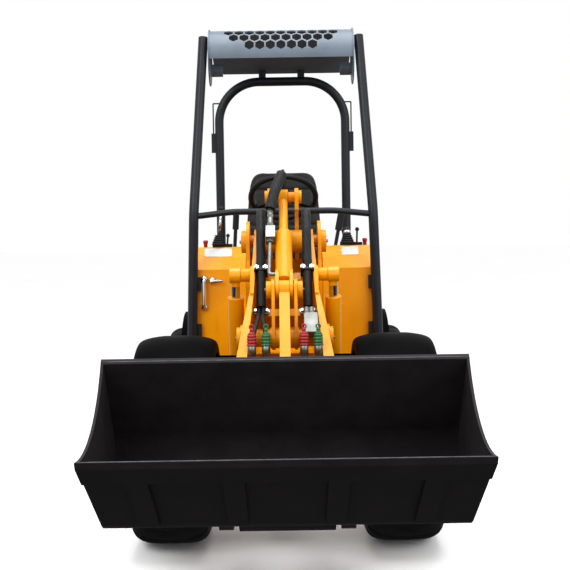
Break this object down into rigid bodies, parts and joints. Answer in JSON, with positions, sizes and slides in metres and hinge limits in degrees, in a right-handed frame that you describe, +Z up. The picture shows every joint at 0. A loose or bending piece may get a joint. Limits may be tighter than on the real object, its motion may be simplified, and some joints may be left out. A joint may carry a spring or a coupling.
{
  "type": "articulated loader",
  "caption": "Compact articulated wheel loader with a lift arm, self-levelling tilt linkage and bucket, an open operator's place under a guard frame, and a hinged tail hood.",
  "frame": {"origin": "middle of the machine's length and width, on the ground under the tyres", "axes": "+Z up, -Y forward to the bucket, +X to the machine's left"},
  "size_m": [1.31, 3.4372, 2.3828],
  "materials": {
    "body_paint": "gloss",
    "dark_paint": "satin",
    "rim_paint": "satin",
    "tyre": "matte",
    "steel": "satin",
    "black_plastic": "matte",
    "hose_rubber": "matte",
    "seat_cover": "matte",
    "engine": "matte"
  },
  "bodies": {
    "rear_frame": {"rear_chassis": "body_paint", "rear_axle": "body_paint", "counterweight": "dark_paint", "engine_block": "engine", "floor_plate": "black_plastic", "seat_base": "body_paint", "seat_cushion": "seat_cover", "seat_back": "seat_cover", "steering_column": "black_plastic", "steering_wheel": "black_plastic", "control_levers": "steel", "front_posts": "dark_paint", "rear_hoop": "dark_paint", "roof_panel": "dark_paint", "rear_fenders": "black_plastic", "side_pods": "body_paint"},
    "front_frame": {"front_chassis": "body_paint", "front_axle": "body_paint", "front_fenders": "black_plastic"},
    "hood": {"engine_hood": "body_paint"},
    "lift_arm": {"lift_arms": "body_paint", "arm_couplers": "steel", "arm_hoses": "hose_rubber"},
    "bucket": {"bucket": "dark_paint", "quick_coupler": "body_paint"},
    "hinge_pin": {"hinge_pins": "body_paint"},
    "lever_pin": {"lever_pin": "body_paint"},
    "tilt_lever": {"tilt_lever": "body_paint"},
    "tilt_pin": {"tilt_pin": "body_paint"},
    "tilt_link": {"tilt_link": "body_paint"},
    "tilt_barrel": {"tilt_barrel": "body_paint", "tilt_hose": "hose_rubber"},
    "tilt_rod": {"tilt_rod": "body_paint"},
    "lift_barrel": {"lift_barrels": "body_paint"},
    "lift_rod": {"lift_rods": "steel"},
    "steer_barrel": {"steer_barrel": "body_paint"},
    "steer_rod": {"steer_rod": "steel"},
    "front_right_wheel": {"front_right_tyre": "tyre", "front_right_rim": "rim_paint"},
    "front_left_wheel": {"front_left_tyre": "tyre", "front_left_rim": "rim_paint"},
    "rear_right_wheel": {"rear_right_tyre": "tyre", "rear_right_rim": "rim_paint"},
    "rear_left_wheel": {"rear_left_tyre": "tyre", "rear_left_rim": "rim_paint"}
  },
  "joints": [
    {"name": "articulation", "type": "hinge", "parent": "rear_frame", "child": "front_frame", "pos_m": [0, 0.35355, 0.5], "axis": [0, 0, 1], "range_deg": [-40, 40]},
    {"name": "lift", "type": "hinge", "parent": "front_frame", "child": "lift_arm", "pos_m": [0, 0.10355, 1.265], "axis": [-1, 0, 0], "range_deg": [-4.8, 88]},
    {"name": "tilt", "type": "hinge", "parent": "hinge_pin", "child": "bucket", "pos_m": [0, -0.91083, 0.24631], "axis": [-1, 0, 0], "range_deg": [-75, 10]},
    {"name": "hood", "type": "hinge", "parent": "rear_frame", "child": "hood", "pos_m": [0, 1.35355, 1.1], "axis": [1, 0, 0], "range_deg": [0, 60]},
    {"name": "hinge_pin", "type": "hinge", "parent": "lift_arm", "child": "hinge_pin", "pos_m": [0, -0.91083, 0.24631], "axis": [-1, 0, 0], "range_deg": [-88.05, 4.85]},
    {"name": "lever_pin", "type": "hinge", "parent": "lift_arm", "child": "lever_pin", "pos_m": [0, -0.3057, 0.85401], "axis": [-1, 0, 0], "range_deg": [-88.05, 4.85]},
    {"name": "tilt_lever", "type": "hinge", "parent": "lever_pin", "child": "tilt_lever", "pos_m": [0, -0.3057, 0.85401], "axis": [-1, 0, 0], "range_deg": [-75.05, 10.05]},
    {"name": "tilt_pin", "type": "hinge", "parent": "tilt_lever", "child": "tilt_pin", "pos_m": [0, -0.26924, 1.06082], "axis": [-1, 0, 0], "range_deg": [-4.85, 88.05]},
    {"name": "tilt_link", "type": "hinge", "parent": "tilt_pin", "child": "tilt_link", "pos_m": [0, -0.26924, 1.06082], "axis": [-1, 0, 0], "range_deg": [-10.05, 75.05]},
    {"name": "tilt_barrel", "type": "hinge", "parent": "tilt_pin", "child": "tilt_barrel", "pos_m": [0, -0.26924, 1.06082], "axis": [-1, 0, 0], "range_deg": [-10.77, 80.42]},
    {"name": "tilt_rod", "type": "slide", "parent": "tilt_barrel", "child": "tilt_rod", "axis": [0, 0.7056, 0.7086], "range_m": [-0.03347, 0.24781]},
    {"name": "lift_barrel", "type": "hinge", "parent": "front_frame", "child": "lift_barrel", "pos_m": [0, 0.05355, 0.48], "axis": [-1, 0, 0], "range_deg": [-0.59, 9.94]},
    {"name": "lift_rod", "type": "slide", "parent": "lift_barrel", "child": "lift_rod", "axis": [0, -0.2707, 0.9627], "range_m": [-0.0196, 0.3507]},
    {"name": "steer_barrel", "type": "hinge", "parent": "rear_frame", "child": "steer_barrel", "pos_m": [0.105, 0.68355, 0.435], "axis": [0, 0, 1], "range_deg": [-16.48, 16.48]},
    {"name": "steer_rod", "type": "slide", "parent": "steer_barrel", "child": "steer_rod", "axis": [0, -1, 0], "range_m": [-0.07219, 0.07219]},
    {"name": "front_right_wheel", "type": "hinge", "parent": "front_frame", "child": "front_right_wheel", "pos_m": [-0.485, -0.39645, 0.39], "axis": [1, 0, 0], "continuous": true},
    {"name": "front_left_wheel", "type": "hinge", "parent": "front_frame", "child": "front_left_wheel", "pos_m": [0.485, -0.39645, 0.39], "axis": [1, 0, 0], "continuous": true},
    {"name": "rear_right_wheel", "type": "hinge", "parent": "rear_frame", "child": "rear_right_wheel", "pos_m": [-0.485, 1.10355, 0.39], "axis": [1, 0, 0], "continuous": true},
    {"name": "rear_left_wheel", "type": "hinge", "parent": "rear_frame", "child": "rear_left_wheel", "pos_m": [0.485, 1.10355, 0.39], "axis": [1, 0, 0], "continuous": true}
  ],
  "couplings": [
    {"joint": "hinge_pin", "follows": "lift", "ratio": -1},
    {"joint": "lever_pin", "follows": "lift", "ratio": -1},
    {"joint": "tilt_lever", "follows": "tilt", "ratio": 1},
    {"joint": "tilt_pin", "follows": "lift", "ratio": 1},
    {"joint": "tilt_link", "follows": "tilt", "ratio": -1},
    {"joint": "tilt_barrel", "follows": "tilt", "ratio": -1.0716},
    {"joint": "tilt_rod", "follows": "tilt", "m_per_rad": -0.18893},
    {"joint": "lift_barrel", "follows": "lift", "ratio": 0.11236},
    {"joint": "lift_rod", "follows": "lift", "m_per_rad": 0.22801},
    {"joint": "steer_barrel", "follows": "articulation", "ratio": 0.41083},
    {"joint": "steer_rod", "follows": "articulation", "m_per_rad": -0.10268}
  ]
}
